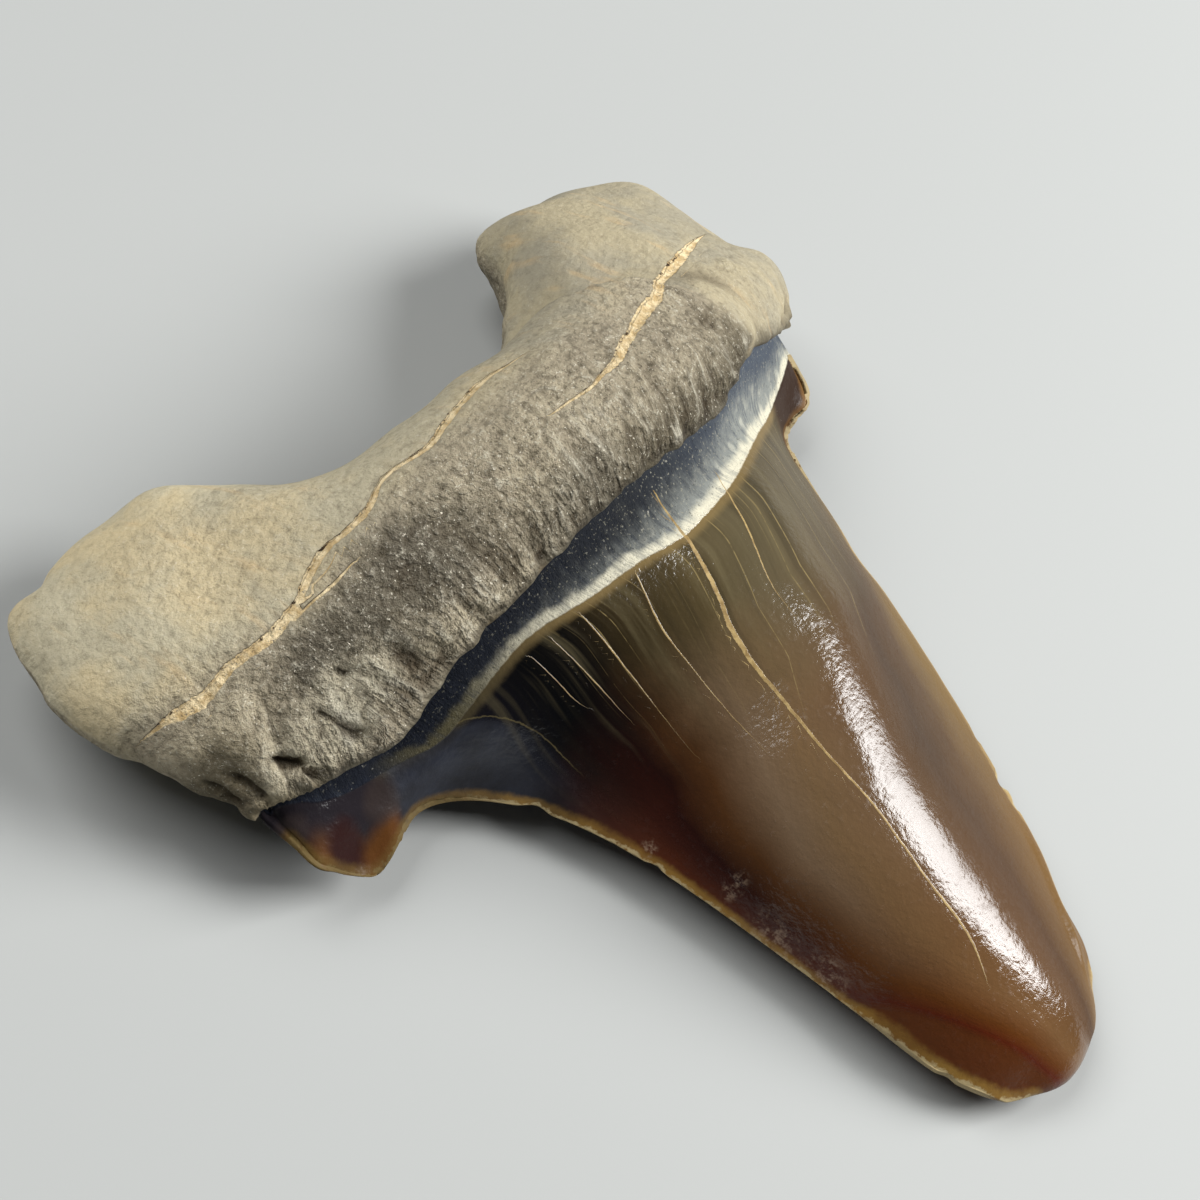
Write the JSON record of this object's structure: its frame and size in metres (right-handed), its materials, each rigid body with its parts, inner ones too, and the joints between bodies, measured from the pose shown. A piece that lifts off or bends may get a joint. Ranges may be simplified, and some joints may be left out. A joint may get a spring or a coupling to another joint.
{
  "type": "fossil parotodus shark tooth",
  "caption": "Fossil shark tooth with a bilobed root, a neck band, a glossy triangular crown and a small side cusplet at each end of its base, lying on its labial face.",
  "frame": {"origin": "middle of the base of the tooth's box, on the surface that it rests on", "axes": "+X across the tooth, along its cutting edges' spread; +Y from the crown's tip to the root; +Z out of the lingual face, up"},
  "size_m": [0.037, 0.0402, 0.012],
  "materials": {
    "fossil_tooth": "matt sandy grey root, navy and grey neck band, glossy brown to amber enamel crown"
  },
  "bodies": {
    "root": {"tooth": "fossil_tooth"}
  },
  "joints": []
}
